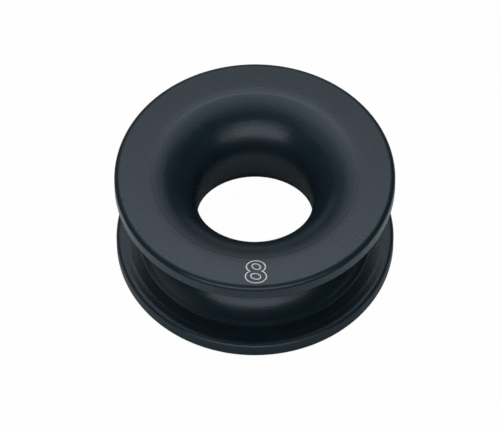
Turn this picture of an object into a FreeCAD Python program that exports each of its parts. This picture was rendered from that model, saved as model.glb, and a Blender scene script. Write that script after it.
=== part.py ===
import FreeCAD, Part
import math
import os
import Sketcher
from FreeCAD import Vector

# Lead ring: one turned aluminium ring that a line runs through. The bore opens into a bell mouth on
# both sides, and a deep groove round the outside seats the lashing that holds the ring.
# Frame: the ring lies flat on its lower face, the origin is on its axis at that face, +Z is the axis.

# Driving dimensions in millimetres, the angles in degrees
DRIVING = [
    ("outer_dia", 19.45, "outside diameter over the two rims"),
    ("thickness", 8.3, "height from face to face"),
    ("bore_dia", 8.0, "diameter of the straight throat"),
    ("throat_length", 0.9, "straight length in the middle of the bore"),
    ("mouth_break", 8.7, "degrees between each bell mouth and its face where they meet"),
    ("groove_depth", 3.46, "depth of the lashing groove below the rims"),
    ("seat_radius", 2.67, "radius of the round seat in the groove"),
    ("shoulder_length", 0.28, "radial length of the steep shoulder on either side of the seat"),
    ("shoulder_slope", 40.0, "degrees by which each shoulder opens outwards"),
    ("flank_length", 1.24, "radial length of each nearly flat flank, from its shoulder to its bevel"),
    ("flank_slope", 6.0, "degrees by which each flank opens outwards"),
    ("bevel_length", 0.36, "radial length of the bevel from each flank out to the rim"),
    ("bevel_slope", 16.0, "degrees by which each bevel opens outwards"),
    ("face_edge_break", 0.2, "width of the broken edge between each rim and its face"),
    ("groove_edge_break", 0.15, "width of the broken edge between each rim and its bevel"),
    ("cut_runout", 1.0, "how far the groove's cut runs out past the rims"),
]

# Sizes that follow from them
DERIVED = [
    ("outer_radius", "=outer_dia / 2", "radius of the rims"),
    ("bore_radius", "=bore_dia / 2", "radius of the throat"),
    ("mid_height", "=thickness / 2", "height of the ring's middle plane"),
    ("mouth_height", "=(thickness - throat_length) / 2", "height of each bell mouth"),
    ("mouth_radius", "=mouth_height / cos(mouth_break * 1 deg)", "radius of each bell mouth's section"),
    ("face_radius", "=bore_radius + mouth_radius - mouth_height * tan(mouth_break * 1 deg)",
     "inner radius of each flat face, where its bell mouth begins"),
    ("seat_centre", "=outer_radius - groove_depth + seat_radius", "radius at which the seat is centred"),
    ("cut_reach", "=outer_radius + cut_runout", "radius to which the groove's cut runs out"),
    ("bevel_radius", "=outer_radius - bevel_length", "radius at which each flank meets its bevel"),
    ("foot_radius", "=bevel_radius - flank_length", "radius at which each shoulder meets its flank"),
    ("seat_edge_radius", "=foot_radius - shoulder_length", "radius at which the seat meets its shoulders"),
    ("seat_reach", "=sqrt(seat_radius ^ 2 - (seat_centre - seat_edge_radius) ^ 2)",
     "half the width of the seat where the shoulders begin"),
    ("foot_height", "=mid_height - seat_reach - shoulder_length * tan(shoulder_slope * 1 deg)",
     "height at which the lower shoulder meets its flank"),
    ("bevel_height", "=foot_height - flank_length * tan(flank_slope * 1 deg)",
     "height at which the lower flank meets its bevel"),
    ("rim_width", "=bevel_height - bevel_length * tan(bevel_slope * 1 deg)",
     "width of each rim, from its face to the groove"),
    ("edge_radius", "=outer_radius - groove_edge_break * cos(bevel_slope * 1 deg)",
     "radius at which each bevel ends at its broken edge"),
    ("edge_height", "=rim_width + groove_edge_break * sin(bevel_slope * 1 deg)",
     "height at which the lower bevel ends at its broken edge"),
    ("rim_edge", "=rim_width - groove_edge_break", "height at which the lower rim ends at its broken edge"),
]

doc = FreeCAD.newDocument("lead_ring")
sheet = doc.addObject("Spreadsheet::Sheet", "Sizes")
for row, (alias, content, meaning) in enumerate(DRIVING + DERIVED, start=1):
    sheet.set(f"A{row}", meaning)
    sheet.set(f"B{row}", str(content))
    sheet.setAlias(f"B{row}", alias)
    doc.recompute()


def size(alias):
    return float(getattr(sheet, alias))


def at(radius, height):
    return Vector(radius, height, 0)


# An arc of the section, counter-clockwise between two angles in degrees
def arc(centre, radius, start, end):
    circle = Part.Circle(centre, Vector(0, 0, 1), radius)
    return Part.ArcOfCircle(circle, math.radians(start), math.radians(end))


# An empty sketch on the body's own XZ plane, where x is the radius and y the height
def section_sketch(body, name):
    plane = next(item for item in body.Origin.OriginFeatures if item.Role == "XZ_Plane")
    sketch = body.newObject("Sketcher::SketchObject", name)
    sketch.AttachmentSupport = [(plane, "")]
    sketch.MapMode = "FlatFace"
    return sketch


# A named dimension that takes its value from the sheet
def dimension(sketch, name, kind, where, expression):
    index = sketch.addConstraint(Sketcher.Constraint(kind, *where, size(expression)))
    sketch.renameConstraint(index, name)
    sketch.setExpression(f"Constraints.{name}", f"Sizes.{expression}")


# The section of the blank: two flat faces, a straight rim and the bell-mouthed bore
def blank_section(body):
    outer = size("outer_radius")
    bore = size("bore_radius")
    face = size("face_radius")
    top = size("thickness")
    mouth = size("mouth_radius")
    rise = size("mouth_height")
    turn = size("mouth_break")
    sketch = section_sketch(body, "blank_section")
    base, rim, lid, upper_mouth, throat, lower_mouth = range(6)
    sketch.addGeometry([
        Part.LineSegment(at(face, 0), at(outer, 0)),
        Part.LineSegment(at(outer, 0), at(outer, top)),
        Part.LineSegment(at(outer, top), at(face, top)),
        arc(at(bore + mouth, top - rise), mouth, 90 + turn, 180),
        Part.LineSegment(at(bore, top - rise), at(bore, rise)),
        arc(at(bore + mouth, rise), mouth, 180, 270 - turn),
    ], False)
    sketch.addConstraint([
        Sketcher.Constraint("Coincident", base, 2, rim, 1),
        Sketcher.Constraint("Coincident", rim, 2, lid, 1),
        Sketcher.Constraint("Coincident", lid, 2, upper_mouth, 1),
        Sketcher.Constraint("Tangent", upper_mouth, 2, throat, 1),
        Sketcher.Constraint("Tangent", throat, 2, lower_mouth, 1),
        Sketcher.Constraint("Coincident", lower_mouth, 2, base, 1),
        Sketcher.Constraint("Horizontal", base),
        Sketcher.Constraint("Vertical", rim),
        Sketcher.Constraint("Horizontal", lid),
        Sketcher.Constraint("Vertical", throat),
        Sketcher.Constraint("PointOnObject", base, 1, -1),
        Sketcher.Constraint("Vertical", base, 1, lid, 2),
    ])
    dimension(sketch, "rim_radius", "DistanceX", (-1, 1, rim, 1), "outer_radius")
    dimension(sketch, "rim_height", "DistanceY", (rim, 1, rim, 2), "thickness")
    dimension(sketch, "face_inside", "DistanceX", (-1, 1, base, 1), "face_radius")
    dimension(sketch, "throat_radius", "DistanceX", (-1, 1, throat, 2), "bore_radius")
    dimension(sketch, "throat_start", "DistanceY", (-1, 1, throat, 2), "mouth_height")
    dimension(sketch, "throat_rise", "DistanceY", (throat, 2, throat, 1), "throat_length")
    return sketch


# The section of the lashing groove, alike above and below the ring's middle: a round seat, a steep
# shoulder on either side of it, a nearly flat flank, a bevel, and a broken edge at each rim
def groove_section(body):
    outer = size("outer_radius")
    past = size("cut_reach")
    mid = size("mid_height")
    edge = size("seat_edge_radius")
    reach = size("seat_reach")
    foot = size("foot_radius")
    foot_rise = mid - size("foot_height")
    bevel = size("bevel_radius")
    bevel_rise = mid - size("bevel_height")
    broken = size("edge_radius")
    broken_rise = mid - size("edge_height")
    rim_rise = mid - size("rim_edge")
    seat_centre = size("seat_centre")
    half_turn = math.degrees(math.atan2(reach, edge - seat_centre))
    sketch = section_sketch(body, "groove_section")
    (seat, lower_shoulder, lower_flank, lower_bevel, lower_edge, lower_exit, mouth,
     upper_exit, upper_edge, upper_bevel, upper_flank, upper_shoulder, middle) = range(13)
    sketch.addGeometry([
        arc(at(seat_centre, mid), size("seat_radius"), half_turn, 360 - half_turn),
        Part.LineSegment(at(edge, mid - reach), at(foot, mid - foot_rise)),
        Part.LineSegment(at(foot, mid - foot_rise), at(bevel, mid - bevel_rise)),
        Part.LineSegment(at(bevel, mid - bevel_rise), at(broken, mid - broken_rise)),
        Part.LineSegment(at(broken, mid - broken_rise), at(outer, mid - rim_rise)),
        Part.LineSegment(at(outer, mid - rim_rise), at(past, mid - rim_rise)),
        Part.LineSegment(at(past, mid - rim_rise), at(past, mid + rim_rise)),
        Part.LineSegment(at(past, mid + rim_rise), at(outer, mid + rim_rise)),
        Part.LineSegment(at(outer, mid + rim_rise), at(broken, mid + broken_rise)),
        Part.LineSegment(at(broken, mid + broken_rise), at(bevel, mid + bevel_rise)),
        Part.LineSegment(at(bevel, mid + bevel_rise), at(foot, mid + foot_rise)),
        Part.LineSegment(at(foot, mid + foot_rise), at(edge, mid + reach)),
    ], False)
    sketch.addGeometry([Part.LineSegment(at(seat_centre, mid), at(past, mid))], True)
    sketch.addConstraint([
        Sketcher.Constraint("Coincident", seat, 2, lower_shoulder, 1),
        Sketcher.Constraint("Coincident", lower_shoulder, 2, lower_flank, 1),
        Sketcher.Constraint("Coincident", lower_flank, 2, lower_bevel, 1),
        Sketcher.Constraint("Coincident", lower_bevel, 2, lower_edge, 1),
        Sketcher.Constraint("Coincident", lower_edge, 2, lower_exit, 1),
        Sketcher.Constraint("Coincident", lower_exit, 2, mouth, 1),
        Sketcher.Constraint("Coincident", mouth, 2, upper_exit, 1),
        Sketcher.Constraint("Coincident", upper_exit, 2, upper_edge, 1),
        Sketcher.Constraint("Coincident", upper_edge, 2, upper_bevel, 1),
        Sketcher.Constraint("Coincident", upper_bevel, 2, upper_flank, 1),
        Sketcher.Constraint("Coincident", upper_flank, 2, upper_shoulder, 1),
        Sketcher.Constraint("Coincident", upper_shoulder, 2, seat, 1),
        Sketcher.Constraint("Coincident", middle, 1, seat, 3),
        Sketcher.Constraint("Horizontal", middle),
        Sketcher.Constraint("PointOnObject", middle, 2, mouth),
        Sketcher.Constraint("Horizontal", lower_exit),
        Sketcher.Constraint("Vertical", seat, 1, seat, 2),
        Sketcher.Constraint("Symmetric", lower_flank, 1, upper_flank, 2, middle),
        Sketcher.Constraint("Symmetric", lower_bevel, 1, upper_bevel, 2, middle),
        Sketcher.Constraint("Symmetric", lower_edge, 1, upper_edge, 2, middle),
        Sketcher.Constraint("Symmetric", lower_exit, 1, upper_exit, 2, middle),
        Sketcher.Constraint("Symmetric", mouth, 1, mouth, 2, middle),
    ])
    dimension(sketch, "seat_round", "Radius", (seat,), "seat_radius")
    dimension(sketch, "seat_out", "DistanceX", (-1, 1, seat, 3), "seat_centre")
    dimension(sketch, "seat_up", "DistanceY", (-1, 1, seat, 3), "mid_height")
    dimension(sketch, "seat_edge_out", "DistanceX", (-1, 1, lower_shoulder, 1), "seat_edge_radius")
    dimension(sketch, "foot_out", "DistanceX", (-1, 1, lower_flank, 1), "foot_radius")
    dimension(sketch, "foot_up", "DistanceY", (-1, 1, lower_flank, 1), "foot_height")
    dimension(sketch, "bevel_out", "DistanceX", (-1, 1, lower_bevel, 1), "bevel_radius")
    dimension(sketch, "bevel_up", "DistanceY", (-1, 1, lower_bevel, 1), "bevel_height")
    dimension(sketch, "edge_out", "DistanceX", (-1, 1, lower_edge, 1), "edge_radius")
    dimension(sketch, "edge_up", "DistanceY", (-1, 1, lower_edge, 1), "edge_height")
    dimension(sketch, "rim_out", "DistanceX", (-1, 1, lower_exit, 1), "outer_radius")
    dimension(sketch, "rim_up", "DistanceY", (-1, 1, lower_exit, 1), "rim_edge")
    dimension(sketch, "mouth_out", "DistanceX", (-1, 1, mouth, 1), "cut_reach")
    return sketch


# A full turn of a sketch about its own vertical axis, which is the ring's axis
def turned(body, kind, name, sketch):
    feature = body.newObject(kind, name)
    feature.Profile = sketch
    feature.ReferenceAxis = (sketch, ["V_Axis"])
    feature.Angle = 360
    return feature


# The names of the outer edges of the two flat faces
def face_edges(shape):
    near = 1e-4
    names = []
    for number, edge in enumerate(shape.Edges, start=1):
        if not isinstance(edge.Curve, Part.Circle):
            continue
        height = edge.Curve.Center.z
        on_rim = abs(edge.Curve.Radius - size("outer_radius")) < near
        if on_rim and (abs(height) < near or abs(height - size("thickness")) < near):
            names.append(f"Edge{number}")
    return names


def lead_ring():
    body = doc.addObject("PartDesign::Body", "lead_ring")
    body.Label = "lead_ring"
    body.Placement = FreeCAD.Placement(Vector(0, 0, 0), FreeCAD.Rotation())
    blank = turned(body, "PartDesign::Revolution", "blank", blank_section(body))
    doc.recompute()
    groove = turned(body, "PartDesign::Groove", "lashing_groove", groove_section(body))
    doc.recompute()
    if groove.Shape.Volume >= blank.Shape.Volume:
        raise SystemExit("the groove cuts nothing")
    broken = body.newObject("PartDesign::Chamfer", "face_edges")
    broken.Base = (groove, face_edges(groove.Shape))
    broken.setExpression("Size", "Sizes.face_edge_break")
    doc.recompute()
    return body


# Every object's state and every solid is checked before anything is written
def write(bodies):
    for item in doc.Objects:
        if "Invalid" in item.State or "Error" in item.State:
            raise SystemExit(f"{item.Name} failed: {item.State}")
    for body in bodies:
        if body.Shape.isNull() or not body.Shape.isValid() or len(body.Shape.Solids) != 1:
            raise SystemExit(f"{body.Label} isn't one valid solid")
    os.makedirs("parts", exist_ok=True)
    for body in bodies:
        body.Shape.exportStep(f"parts/{body.Label}.step")
        box = body.Shape.optimalBoundingBox(True, False)
        print(f"{body.Label}: {box.XLength:.3f} x {box.YLength:.3f} x {box.ZLength:.3f} mm, "
              f"{body.Shape.Volume:.1f} cubic mm, {len(body.Shape.Faces)} faces")


write([lead_ring()])
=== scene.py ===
import math

import bpy
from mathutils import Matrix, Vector


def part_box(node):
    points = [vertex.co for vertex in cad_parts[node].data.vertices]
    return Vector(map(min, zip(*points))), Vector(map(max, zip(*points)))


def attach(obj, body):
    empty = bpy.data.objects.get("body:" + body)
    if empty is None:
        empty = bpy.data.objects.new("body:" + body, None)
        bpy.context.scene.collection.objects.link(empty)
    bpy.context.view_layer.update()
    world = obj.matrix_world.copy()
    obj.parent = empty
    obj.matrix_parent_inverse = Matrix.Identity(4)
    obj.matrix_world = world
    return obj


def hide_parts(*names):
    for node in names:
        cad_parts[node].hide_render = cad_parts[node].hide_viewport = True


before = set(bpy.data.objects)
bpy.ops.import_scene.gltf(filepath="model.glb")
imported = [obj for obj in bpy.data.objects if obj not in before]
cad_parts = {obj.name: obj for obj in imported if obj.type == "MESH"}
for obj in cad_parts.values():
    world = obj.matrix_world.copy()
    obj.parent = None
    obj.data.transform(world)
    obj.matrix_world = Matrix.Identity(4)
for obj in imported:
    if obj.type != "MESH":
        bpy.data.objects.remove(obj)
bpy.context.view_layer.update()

# Lead ring in a white studio. Ring and number are drawn in millimetres and made metres once they are done.

cadLow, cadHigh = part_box("lead_ring")
mmPerMetre = 1000
ringRadius = (cadHigh.x - cadLow.x) / 2 * mmPerMetre
ringHeight = (cadHigh.z - cadLow.z) * mmPerMetre

bpy.context.scene.view_settings.view_transform = "Standard"


# helpers for meshes

def deselectAll():
    if bpy.context.object and bpy.context.object.mode != "OBJECT":
        bpy.ops.object.mode_set(mode="OBJECT")
    bpy.ops.object.select_all(action="DESELECT")


# edit mode with everything selected
def editAll():
    bpy.ops.object.mode_set(mode="EDIT")
    bpy.ops.mesh.select_all(action="SELECT")


# what is selected in edit mode goes from millimetres to metres
def makeMetres():
    bpy.ops.transform.resize(value=(1 / mmPerMetre,) * 3, center_override=(0, 0, 0))


def nameIt(obj, name):
    obj.name = name
    obj.data.name = name


def applyModifier(obj, kind, **values):
    modifier = obj.modifiers.new(kind.title(), kind)
    for key, value in values.items():
        setattr(modifier, key, value)
    bpy.ops.object.modifier_apply(modifier=modifier.name)


# helpers for materials

def startMaterial(name):
    material = bpy.data.materials.new(name)
    material.use_nodes = True
    return material, material.node_tree


def addNode(tree, kind, x, y, **values):
    node = tree.nodes.new(kind)
    node.location = (x, y)
    for key, value in values.items():
        setattr(node, key, value)
    return node


# a socket is linked, a number or a colour is typed in
def feed(tree, target, value):
    if isinstance(value, bpy.types.NodeSocket):
        tree.links.new(value, target)
    else:
        target.default_value = value


def addMath(tree, operation, x, y, *values):
    node = addNode(tree, "ShaderNodeMath", x, y, operation=operation)
    for index, value in enumerate(values):
        feed(tree, node.inputs[index], value)
    return node.outputs[0]


# maps what lies between two ends onto two results
def addRange(tree, x, y, value, ends, results=(0, 1), interpolation="LINEAR"):
    node = addNode(tree, "ShaderNodeMapRange", x, y, interpolation_type=interpolation)
    node.inputs["From Min"].default_value, node.inputs["From Max"].default_value = ends
    node.inputs["To Min"].default_value, node.inputs["To Max"].default_value = results
    tree.links.new(value, node.inputs["Value"])
    return node.outputs[0]


# the first colour at a share of 0, the second at 1
def addColourMix(tree, x, y, share, first, second):
    node = addNode(tree, "ShaderNodeMix", x, y, data_type="RGBA")
    for index, value in ((0, share), (6, first), (7, second)):
        feed(tree, node.inputs[index], value)
    return node.outputs[2]


def addNoise(tree, x, y, place, scale, detail, roughness=0.5, dimensions="3D"):
    node = addNode(tree, "ShaderNodeTexNoise", x, y, noise_dimensions=dimensions)
    node.inputs["Detail"].default_value = detail
    node.inputs["Roughness"].default_value = roughness
    tree.links.new(place, node.inputs["Vector"])
    tree.links.new(scale, node.inputs["Scale"])
    return node.outputs[0]


def startGroup(name, inputs, outputs):
    group = bpy.data.node_groups.new(name, "ShaderNodeTree")
    for label, kind in inputs:
        group.interface.new_socket(name=label, in_out="INPUT", socket_type="NodeSocket" + kind)
    for label, kind in outputs:
        group.interface.new_socket(name=label, in_out="OUTPUT", socket_type="NodeSocket" + kind)
    return group, addNode(group, "NodeGroupInput", -1000, 0), addNode(group, "NodeGroupOutput", 600, 0)


# places a group in a material and feeds its inputs by their labels
def useGroup(tree, group, x, y, inputs):
    node = addNode(tree, "ShaderNodeGroup", x, y, node_tree=group)
    for label, value in inputs.items():
        feed(tree, node.inputs[label], value)
    return node


# node groups that the finishes are made of

# radius and height in mm, as a vector that runs along the turned section
def makeSectionPlace():
    group, source, result = startGroup(
        "sectionPlace", [("Vector", "Vector")],
        [("Place", "Vector"), ("Radius", "Float"), ("Height", "Float")])
    split = addNode(group, "ShaderNodeSeparateXYZ", -800, 0)
    group.links.new(source.outputs["Vector"], split.inputs[0])
    squareX = addMath(group, "MULTIPLY", -600, 160, split.outputs[0], split.outputs[0])
    squareY = addMath(group, "MULTIPLY", -600, -20, split.outputs[1], split.outputs[1])
    away = addMath(group, "SQRT", -200, 80, addMath(group, "ADD", -400, 80, squareX, squareY))
    radius = addMath(group, "MULTIPLY", 0, 80, away, mmPerMetre)
    height = addMath(group, "MULTIPLY", 0, -120, split.outputs[2], mmPerMetre)
    place = addNode(group, "ShaderNodeCombineXYZ", 250, 0)
    group.links.new(radius, place.inputs[0])
    group.links.new(height, place.inputs[1])
    group.links.new(place.outputs[0], result.inputs["Place"])
    group.links.new(radius, result.inputs["Radius"])
    group.links.new(height, result.inputs["Height"])
    return group


# rings left by the lathe tool, fine and broad: noise that only changes along the section
def makeTurningMarks():
    group, source, result = startGroup(
        "turningMarks",
        [("Place", "Vector"), ("Fine per mm", "Float"), ("Broad per mm", "Float"), ("Broad share", "Float")],
        [("Height", "Float"), ("Streak", "Float")])
    place = source.outputs["Place"]
    fine = addNoise(group, -600, 150, place, source.outputs["Fine per mm"],
                    detail=3, roughness=0.6, dimensions="2D")
    broad = addNoise(group, -600, -150, place, source.outputs["Broad per mm"], detail=2, dimensions="2D")
    both = addNode(group, "ShaderNodeMix", -200, 0, data_type="FLOAT")
    group.links.new(source.outputs["Broad share"], both.inputs[0])
    group.links.new(fine, both.inputs[2])
    group.links.new(broad, both.inputs[3])
    group.links.new(both.outputs[0], result.inputs["Height"])
    group.links.new(broad, result.inputs["Streak"])
    return group


# satin etch of the skin: tiny pits and a soft cloudiness of the dye
def makeEtchedSkin():
    group, source, result = startGroup(
        "etchedSkin", [("Vector", "Vector"), ("Pits per mm", "Float"), ("Clouds per mm", "Float")],
        [("Height", "Float"), ("Cloud", "Float")])
    toMm = addNode(group, "ShaderNodeVectorMath", -800, 0, operation="SCALE")
    toMm.inputs["Scale"].default_value = mmPerMetre
    group.links.new(source.outputs["Vector"], toMm.inputs[0])
    pits = addNoise(group, -500, 150, toMm.outputs[0], source.outputs["Pits per mm"], detail=2)
    cloud = addNoise(group, -500, -150, toMm.outputs[0], source.outputs["Clouds per mm"], detail=4)
    group.links.new(pits, result.inputs["Height"])
    group.links.new(cloud, result.inputs["Cloud"])
    return group


# fine steps and a slight crown on the two faces, as heights that change with the radius
def makeFaceSteps(steps, reach):
    group, source, result = startGroup(
        "faceSteps", [("Radius", "Float"), ("Height", "Float")], [("Height", "Float")])
    total = 0.0
    for index, (radius, width, rise) in enumerate(steps):
        y = 300 - 280 * index
        ends = radius - width / 2, radius + width / 2
        step = addRange(group, -700, y, source.outputs["Radius"], ends, (0, rise), "SMOOTHSTEP")
        total = addMath(group, "ADD", -400, y, step, total)
    fromMiddle = addMath(group, "SUBTRACT", -250, -300, source.outputs["Height"], ringHeight / 2)
    away = addMath(group, "ABSOLUTE", -100, -300, fromMiddle)
    onFace = addMath(group, "GREATER_THAN", 100, -300, away, ringHeight / 2 - reach)
    group.links.new(addMath(group, "MULTIPLY", 300, 0, total, onFace), result.inputs["Height"])
    return group


sectionPlace = makeSectionPlace()
turningMarks = makeTurningMarks()
etchedSkin = makeEtchedSkin()
print("node groups ready")


# materials

noiseSpan = 0.3, 0.7     # nearly all of a noise lies between these

anodisedLook = {
    "dark": (0.0070, 0.0148, 0.0215, 1),     # dye at its deepest
    "pale": (0.0090, 0.0182, 0.0262, 1),     # where the dye is a little thinner
    "tint": (0.74, 0.83, 0.935, 1),          # of what the skin mirrors
    "ior": 1.4,
    "gloss": (0.27, 0.315),                  # roughness from the smoothest to the dullest spots
    "marks": {"Fine per mm": 5.0, "Broad per mm": 1.3, "Broad share": 0.35},
    "skin": {"Pits per mm": 6.0, "Clouds per mm": 0.6},
    "markDepth": 0.0000036,                  # metres
    "pitDepth": 0.0000100,
    # on both faces: radius and width in mm, rise in metres
    "faceSteps": [(6.86, 0.08, 0.0000035), (7.18, 0.07, 0.0000090),
                  (7.47, 0.07, 0.0000030), (9.20, 0.08, 0.0000020)],
    "crown": (8.95, 3.0, -0.0000700),
    "faceReach": 0.7,                        # mm from each face in which steps and crown count
}


def makeAnodised():
    material, tree = startMaterial("anodised_aluminium")
    shader = tree.nodes["Principled BSDF"]
    shader.inputs["IOR"].default_value = anodisedLook["ior"]
    shader.inputs["Specular Tint"].default_value = anodisedLook["tint"]
    coords = addNode(tree, "ShaderNodeTexCoord", -1500, 0).outputs["Object"]
    place = useGroup(tree, sectionPlace, -1300, 100, {"Vector": coords})
    marks = useGroup(tree, turningMarks, -1050, 150,
                     {"Place": place.outputs["Place"], **anodisedLook["marks"]})
    skin = useGroup(tree, etchedSkin, -1050, -150, {"Vector": coords, **anodisedLook["skin"]})

    thin = addRange(tree, -750, 250, skin.outputs["Cloud"], noiseSpan)
    colour = addColourMix(tree, -450, 300, thin, anodisedLook["dark"], anodisedLook["pale"])
    tree.links.new(colour, shader.inputs["Base Color"])

    # broad marks and clouds dull the skin in equal halves
    streaks = addMath(tree, "MULTIPLY", -850, 50, marks.outputs["Streak"], 0.5)
    clouds = addMath(tree, "MULTIPLY", -850, -60, skin.outputs["Cloud"], 0.5)
    spots = addMath(tree, "ADD", -650, 50, streaks, clouds)
    dull = addRange(tree, -450, 50, spots, noiseSpan, anodisedLook["gloss"])
    tree.links.new(dull, shader.inputs["Roughness"])

    faces = makeFaceSteps(anodisedLook["faceSteps"] + [anodisedLook["crown"]], anodisedLook["faceReach"])
    steps = useGroup(tree, faces, -1050, -400,
                     {"Radius": place.outputs["Radius"], "Height": place.outputs["Height"]})
    lines = addMath(tree, "MULTIPLY", -650, -200, marks.outputs["Height"], anodisedLook["markDepth"])
    pits = addMath(tree, "MULTIPLY", -650, -350, skin.outputs["Height"], anodisedLook["pitDepth"])
    relief = addMath(tree, "ADD", -450, -250, lines, pits)
    bump = addNode(tree, "ShaderNodeBump", -200, -250)
    bump.inputs["Distance"].default_value = 1     # the heights are metres already
    tree.links.new(addMath(tree, "ADD", -330, -400, relief, steps.outputs["Height"]), bump.inputs["Height"])
    tree.links.new(bump.outputs[0], shader.inputs["Normal"])
    return material


markLook = {
    "grey": (0.66, 0.68, 0.70, 1),
    "worn": (0.56, 0.58, 0.61, 1),
    "gloss": 0.5,
}


def makeMarkPrint():
    material, tree = startMaterial("laser_mark")
    shader = tree.nodes["Principled BSDF"]
    shader.inputs["Roughness"].default_value = markLook["gloss"]
    coords = addNode(tree, "ShaderNodeTexCoord", -1000, 0).outputs["Object"]
    skin = useGroup(tree, etchedSkin, -800, 0, {"Vector": coords, **anodisedLook["skin"]})
    colour = addColourMix(tree, -400, 100, skin.outputs["Height"], markLook["worn"], markLook["grey"])
    tree.links.new(colour, shader.inputs["Base Color"])
    return material


anodised = makeAnodised()
markPrint = makeMarkPrint()
print("materials ready")


# the ring: half its section drawn as a wire, mirrored, and turned once round

# millimetres and degrees
ringForm = {
    "boreRadius": 4.0,
    "throatLength": 0.9,
    # bell mouth from throat to face: radius, and the slope at which each arc ends
    "mouth": [(3.684, 38.0), (5.7, 45.5), (1.9, 54.0)],
    "lastMouthRadius": 3.852,    # the last arc ends where the round into the face touches it
    "mouthRound": 2.8,           # radius of the round into the face
    "faceRound": 0.40,           # between face and rim
    # walls of the groove: how far each runs towards the axis, its slope, the rounding of its outer corner
    "bevel": (0.36, 13.0, 0.3),
    "outerFlank": (0.30, 5.5, 0.1),
    "ridge": (0.18, 9.5, 0.4),
    "innerFlank": (0.73, 5.3, 0.4),
    "shoulder": (0.31, 34.0, 0.3),
    "seatRound": 0.22,           # between shoulder and seat
    "seatRadius": 2.67,
    "grooveDepth": 3.46,
    "markRelief": 0.004,         # the size number stands this much above the face
    "guard": 0.06,               # short piece at each end of a straight stretch, keeps its shading flat
    # how finely it is cut
    "mouthStep": 1.7,            # degrees of a mouth arc that one edge spans at most
    "mouthRoundSteps": 12,
    "rimSteps": 14,              # in the two rounds of the rim
    "wallSteps": 4,              # in the rounds inside the groove
    "seatSteps": 34,             # in half the seat
    "turnSteps": 256,
    "merge": 0.0005,             # points nearer than this are one
    "smoothAngle": 6,            # edges sharper than this stay sharp
}

walls = ["shoulder", "innerFlank", "ridge", "outerFlank", "bevel"]     # from the seat out to the rim


# one vertex that the section is drawn from
def startSection(radius, height):
    deselectAll()
    bpy.ops.mesh.primitive_plane_add(size=1)
    editAll()
    bpy.ops.mesh.merge(type="CENTER")
    bpy.ops.transform.translate(value=(radius, 0, height))
    return [radius, height]


# a straight stretch with its guards, or two halves where it is too short for them
def drawLine(pen, radius, height):
    guard = ringForm["guard"]
    run, rise = radius - pen[0], height - pen[1]
    length = math.hypot(run, rise)
    stops = [guard / length, 1 - guard / length, 1] if length > 4 * guard else [0.5, 1]
    done = 0
    for stop in stops:
        step = (run * (stop - done), 0, rise * (stop - done))
        bpy.ops.mesh.extrude_region_move(TRANSFORM_OT_translate={"value": step})
        done = stop
    pen[:] = [radius, height]


# an arc about a centre, counter-clockwise for a positive turn
def drawArc(pen, centre, turn, steps):
    angle = math.radians(turn)
    bpy.ops.mesh.spin(steps=steps, angle=angle, center=(centre[0], 0, centre[1]), axis=(0, 1, 0))
    run, rise = pen[0] - centre[0], pen[1] - centre[1]
    pen[:] = [centre[0] + run * math.cos(angle) - rise * math.sin(angle),
              centre[1] + run * math.sin(angle) + rise * math.cos(angle)]


# rounds the corner between two straight directions given in degrees
def drawCorner(pen, corner, fromAngle, toAngle, rounding, steps):
    turn = (toAngle - fromAngle + 180) % 360 - 180
    setback = rounding * math.tan(math.radians(abs(turn)) / 2)
    heading = math.radians(fromAngle)
    drawLine(pen, corner[0] - setback * math.cos(heading), corner[1] - setback * math.sin(heading))
    side = math.radians(fromAngle + math.copysign(90, turn))
    drawArc(pen, (pen[0] + rounding * math.cos(side), pen[1] + rounding * math.sin(side)), turn, steps)


# centre of a mouth arc that starts at the pen, where the wall leans over by this slope
def findMouthCentre(pen, radius, slope):
    lean = math.radians(slope)
    return pen[0] + radius * math.cos(lean), pen[1] - radius * math.sin(lean)


# the bell mouth: arcs that lean further and further over, and a round into the face
def drawMouth(pen, form, halfHeight):
    slope = 0
    for radius, end in form["mouth"]:
        centre = findMouthCentre(pen, radius, slope)
        drawArc(pen, centre, slope - end, math.ceil((end - slope) / form["mouthStep"]))
        slope = end

    # the last arc ends where the round touches it
    radius, blend = form["lastMouthRadius"], form["mouthRound"]
    centre = findMouthCentre(pen, radius, slope)
    lift = halfHeight - blend - centre[1]
    reach = math.sqrt((radius - blend) ** 2 - lift ** 2)
    end = 90 - math.degrees(math.atan2(reach, lift))
    drawArc(pen, centre, slope - end, math.ceil((end - slope) / form["mouthStep"]))
    drawArc(pen, (centre[0] - reach, halfHeight - blend), end - 90, form["mouthRoundSteps"])


# where the walls of the groove meet, from the seat out to the rim
def findCorners(form, seatCentre):
    radius = ringRadius - sum(form[wall][0] for wall in walls)
    height = math.sqrt(form["seatRadius"] ** 2 - (seatCentre - radius) ** 2)
    corners = [(radius, height)]
    for wall in walls:
        length, slope = form[wall][:2]
        radius += length
        height += length * math.tan(math.radians(slope))
        corners.append((radius, height))
    return corners


# the groove from the rim down to the middle of its seat
def drawGroove(pen, form):
    seatCentre = ringRadius - form["grooveDepth"] + form["seatRadius"]
    corners = findCorners(form, seatCentre)
    seatEdge = corners[0]
    heading = -90
    for wall in reversed(walls):
        slope, rounding = form[wall][1:]
        steps = form["rimSteps"] if wall == "bevel" else form["wallSteps"]
        drawCorner(pen, corners.pop(), heading, 180 + slope, rounding, steps)
        heading = 180 + slope
    seatSlope = 270 - math.degrees(math.atan2(seatEdge[1], seatCentre - seatEdge[0]))
    drawCorner(pen, seatEdge, heading, seatSlope, form["seatRound"], form["wallSteps"])
    drawArc(pen, (seatCentre, 0), math.degrees(math.atan2(pen[1], seatCentre - pen[0])), form["seatSteps"])


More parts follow.
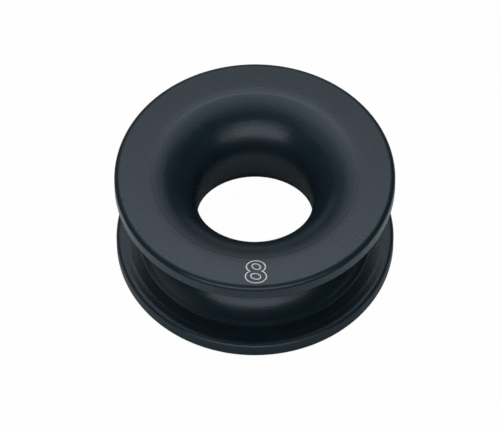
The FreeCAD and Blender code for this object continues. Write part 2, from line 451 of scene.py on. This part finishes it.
def makeRing(form):
    halfHeight = (ringHeight - form["markRelief"]) / 2

    # upper half of the section
    pen = startSection(form["boreRadius"], 0)
    drawLine(pen, form["boreRadius"], form["throatLength"] / 2)
    drawMouth(pen, form, halfHeight)
    drawCorner(pen, (ringRadius, halfHeight), 0, -90, form["faceRound"], form["rimSteps"])
    drawGroove(pen, form)
    bpy.ops.object.mode_set(mode="OBJECT")
    ring = bpy.context.object
    applyModifier(ring, "MIRROR", use_axis=(False, False, True), merge_threshold=form["merge"])

    editAll()
    bpy.ops.transform.translate(value=(0, 0, halfHeight))
    bpy.ops.mesh.spin(steps=form["turnSteps"], angle=2 * math.pi, center=(0, 0, 0), axis=(0, 0, 1))
    bpy.ops.mesh.select_all(action="SELECT")
    bpy.ops.mesh.remove_doubles(threshold=form["merge"])
    bpy.ops.mesh.normals_make_consistent(inside=False)
    makeMetres()
    bpy.ops.object.mode_set(mode="OBJECT")
    bpy.ops.object.shade_smooth_by_angle(angle=math.radians(form["smoothAngle"]))
    applyModifier(ring, "WEIGHTED_NORMAL", keep_sharp=True)
    nameIt(ring, "turned_ring")
    ring.data.materials.append(anodised)
    return ring


ring = makeRing(ringForm)
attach(ring, "root")
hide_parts("lead_ring")
print("ring turned:", len(ring.data.polygons), "faces")


# the size number on the upper face, drawn as an outline

# places and half sizes in mm, seen from above, and tilts in degrees
sizeMark = {
    "upperBowl": {"centre": (0.05, -7.907), "size": (0.65, 0.497), "tilt": 0},
    "lowerBowl": {"centre": (0.05, -8.712), "size": (0.72, 0.538), "tilt": 0},
    "waist": (0.03, -8.285),
    "waistTilt": 5,
    "upperHole": {"centre": (0.075, -7.89), "size": (0.30, 0.22), "tilt": -28},
    "lowerHole": {"centre": (0.035, -8.71), "size": (0.34, 0.23), "tilt": -14},
    "line": 0.135,
    "lineRounds": 2,      # bevel resolution, gives the line 8 sides
    "ovalSteps": 48,
    "merge": 0.04,        # points nearer than this are one
}


# a closed oval of wire, left selected
def addOval(mark, part):
    oval = mark[part]
    bpy.ops.mesh.primitive_circle_add(vertices=mark["ovalSteps"], radius=1)
    bpy.ops.transform.resize(value=(*oval["size"], 1), center_override=(0, 0, 0))
    bpy.ops.transform.rotate(value=-math.radians(oval["tilt"]), orient_axis="Z", center_override=(0, 0, 0))
    bpy.ops.transform.translate(value=(*oval["centre"], 0))


def makeSizeMark(mark, relief):
    deselectAll()
    tilt = math.radians(mark["waistTilt"])
    waist = {"plane_co": (*mark["waist"], 0), "plane_no": (-math.sin(tilt), math.cos(tilt), 0)}

    # each bowl keeps its own side of the waist
    addOval(mark, "upperBowl")
    editAll()
    bpy.ops.mesh.bisect(clear_inner=True, **waist)
    bpy.ops.mesh.select_all(action="DESELECT")
    addOval(mark, "lowerBowl")
    bpy.ops.mesh.bisect(clear_outer=True, **waist)
    bpy.ops.mesh.select_all(action="SELECT")
    bpy.ops.mesh.remove_doubles(threshold=mark["merge"])
    addOval(mark, "upperHole")
    addOval(mark, "lowerHole")
    bpy.ops.object.mode_set(mode="OBJECT")

    # the wires become round lines, and those are pressed flat on the face
    bpy.ops.object.convert(target="CURVE")
    line = bpy.context.object.data
    line.bevel_depth = mark["line"] / 2
    line.bevel_resolution = mark["lineRounds"]
    bpy.ops.object.convert(target="MESH")
    editAll()
    bpy.ops.transform.resize(value=(1, 1, 2 * relief / mark["line"]), center_override=(0, 0, 0))
    bpy.ops.transform.translate(value=(0, 0, ringHeight - relief))
    bpy.ops.mesh.normals_make_consistent(inside=False)
    makeMetres()
    bpy.ops.object.mode_set(mode="OBJECT")
    bpy.ops.object.shade_smooth()
    number = bpy.context.object
    nameIt(number, "size_mark")
    number.data.materials.append(markPrint)
    return number


mark = makeSizeMark(sizeMark, ringForm["markRelief"])
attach(mark, "root")
print("size mark drawn:", len(mark.data.polygons), "faces")


# floor: a round table with a low turned-up rim, pale round the ring with a painted shade under its base, and
# plain white to the camera

# metres, from the table's middle where it is a pair
table = {
    "radius": 0.6,
    "rim": 0.02,
    "border": 0.08,                      # ring of faces inside the rim
    "steps": 128,
    "gap": 0.00002,                      # keeps the table clear of the ring's lower face
    "sheet": (0.72, 0.81, 0.84, 1),      # floor colour within 13 mm of the axis
    "beyond": (0.14, 0.15, 0.16, 1),     # floor colour past 30 mm, darker
    "foot": (0.50, 0.555, 0.575, 1),     # painted shade: floor colour darkened under and just round the ring's base
    "sheetEnds": (0.013, 0.030),
    # painted shade fades in from 4.5 to 6.5 mm and out from 10 to 12.5 mm
    "footStarts": (0.0045, 0.0065),
    "footEnds": (0.0125, 0.0100),
    "farWhite": (0.2, 0.55),             # reflections see the plain white only beyond this
    "whiteShare": 0.985,                 # how much of what the camera sees is plain white
}


def makeTableLook():
    material, tree = startMaterial("white_table")
    tree.nodes.clear()
    coords = addNode(tree, "ShaderNodeTexCoord", -1100, -100)
    away = addNode(tree, "ShaderNodeVectorMath", -900, -100, operation="LENGTH")
    tree.links.new(coords.outputs["Object"], away.inputs[0])
    fades = {}
    for index, name in enumerate(["farWhite", "sheetEnds", "footStarts", "footEnds"]):
        fades[name] = addRange(tree, -700, -100 - 300 * index, away.outputs["Value"], table[name],
                               interpolation="SMOOTHSTEP")

    floorColour = addColourMix(tree, -300, -300, fades["sheetEnds"], table["sheet"], table["beyond"])
    # painted shade: this mask lays the darker colour in a ring under the ring's base
    paintedShadeMask = addMath(tree, "MULTIPLY", -300, -700, fades["footStarts"], fades["footEnds"])
    lit = addNode(tree, "ShaderNodeBsdfDiffuse", 0, -100)
    tree.links.new(addColourMix(tree, -100, -500, paintedShadeMask, floorColour, table["foot"]), lit.inputs["Color"])

    white = addNode(tree, "ShaderNodeEmission", 0, -250)
    rays = addNode(tree, "ShaderNodeLightPath", -900, 300).outputs
    mirrored = addMath(tree, "MAXIMUM", -700, 200, rays["Is Glossy Ray"], rays["Is Transmission Ray"])
    farMirrored = addMath(tree, "MULTIPLY", -500, 100, mirrored, fades["farWhite"])
    seen = addMath(tree, "MAXIMUM", -300, 200, rays["Is Camera Ray"], farMirrored)
    blend = addNode(tree, "ShaderNodeMixShader", 350, 0)
    tree.links.new(addMath(tree, "MULTIPLY", -100, 200, seen, table["whiteShare"]), blend.inputs[0])
    tree.links.new(lit.outputs[0], blend.inputs[1])
    tree.links.new(white.outputs[0], blend.inputs[2])
    output = addNode(tree, "ShaderNodeOutputMaterial", 600, 0)
    tree.links.new(blend.outputs[0], output.inputs["Surface"])
    return material


def makeTable():
    deselectAll()
    bpy.ops.mesh.primitive_circle_add(vertices=table["steps"], radius=table["radius"], fill_type="NGON")
    floor = bpy.context.object
    editAll()
    bpy.ops.mesh.inset(thickness=table["border"])
    bpy.ops.mesh.select_all(action="DESELECT")
    bpy.ops.object.mode_set(mode="OBJECT")
    insideEdge = table["radius"] - table["border"] / 2
    for vertex in floor.data.vertices:
        vertex.select = math.hypot(vertex.co.x, vertex.co.y) > insideEdge
    bpy.ops.object.mode_set(mode="EDIT")
    bpy.ops.mesh.select_mode(type="EDGE")
    bpy.ops.mesh.extrude_region_move(TRANSFORM_OT_translate={"value": (0, 0, table["rim"])})
    bpy.ops.mesh.select_all(action="SELECT")
    bpy.ops.transform.translate(value=(0, 0, -table["gap"]))
    bpy.ops.object.mode_set(mode="OBJECT")
    nameIt(floor, "white_table")
    floor.data.materials.append(makeTableLook())
    return floor


makeTable()
print("table set")


# lamps: a window and a strip low in front, soft panels high behind, a weak fill at the left, one low behind

studio = {
    "lampDistance": 0.25,                   # metres from the ring's middle
    "world": (0.015, 0.015, 0.015, 1),
}

# bearing in degrees from the camera's side towards +X, height in degrees, size in metres
lamps = {
    "frontWindow": {"shape": "RECTANGLE", "bearing": -8, "height": 17, "size": (0.325, 0.169), "glow": 1.23},
    "frontStrip": {"shape": "RECTANGLE", "bearing": 2, "height": 22, "size": (0.503, 0.096), "glow": 1.95},
    "backTop": {"shape": "ELLIPSE", "bearing": 176, "height": 75, "size": (0.424, 0.224), "glow": 0.579},
    "backStrip": {"shape": "ELLIPSE", "bearing": 184, "height": 66, "size": (0.176, 0.044), "glow": 2.25},
    "backPanel": {"shape": "ELLIPSE", "bearing": 179, "height": 67, "size": (0.358, 0.488), "glow": 0.484},
    "backWide": {"shape": "ELLIPSE", "bearing": 214, "height": 63, "size": (0.655, 0.249), "glow": 0.371},
    "leftFill": {"shape": "RECTANGLE", "bearing": 239, "height": 40, "size": (0.258, 0.264), "glow": 0.19},
    "lowBack": {"shape": "RECTANGLE", "bearing": 186, "height": 7, "size": (0.295, 0.049), "glow": 0.535},
}

ringCentre = Vector((0, 0, ringHeight / 2 / mmPerMetre))


def addLamp(name, lamp):
    deselectAll()
    bearing, height = math.radians(lamp["bearing"]), math.radians(lamp["height"])
    level = math.cos(height)
    out = Vector((math.sin(bearing) * level, -math.cos(bearing) * level, math.sin(height)))
    bpy.ops.object.light_add(type="AREA", location=ringCentre + out * studio["lampDistance"],
                             rotation=out.to_track_quat("Z", "Y").to_euler())
    light = bpy.context.object
    nameIt(light, name)
    light.data.shape = lamp["shape"]
    light.data.size, light.data.size_y = lamp["size"]
    # power for a rectangle of this brightness; the same on an ellipse is brighter by 4 / pi
    light.data.energy = lamp["glow"] * math.pi * lamp["size"][0] * lamp["size"][1]
    light.visible_camera = False


for name, lamp in lamps.items():
    addLamp(name, lamp)

world = bpy.data.worlds.new("studio")
world.use_nodes = True
world.node_tree.nodes["Background"].inputs["Color"].default_value = studio["world"]
bpy.context.scene.world = world
print("lamps lit")


# camera at the photograph's place

shot = {
    "lens": 386.32,
    "place": (0, -0.220064, 0.306662),
    "turn": (35.9734, 0.1943, -0.178),    # degrees
    "clip": (0.01, 5),
}

deselectAll()
bpy.ops.object.camera_add(location=shot["place"], rotation=[math.radians(angle) for angle in shot["turn"]])
camera = bpy.context.object
camera.data.lens = shot["lens"]
camera.data.clip_start, camera.data.clip_end = shot["clip"]
bpy.context.scene.camera = camera
print("camera placed")
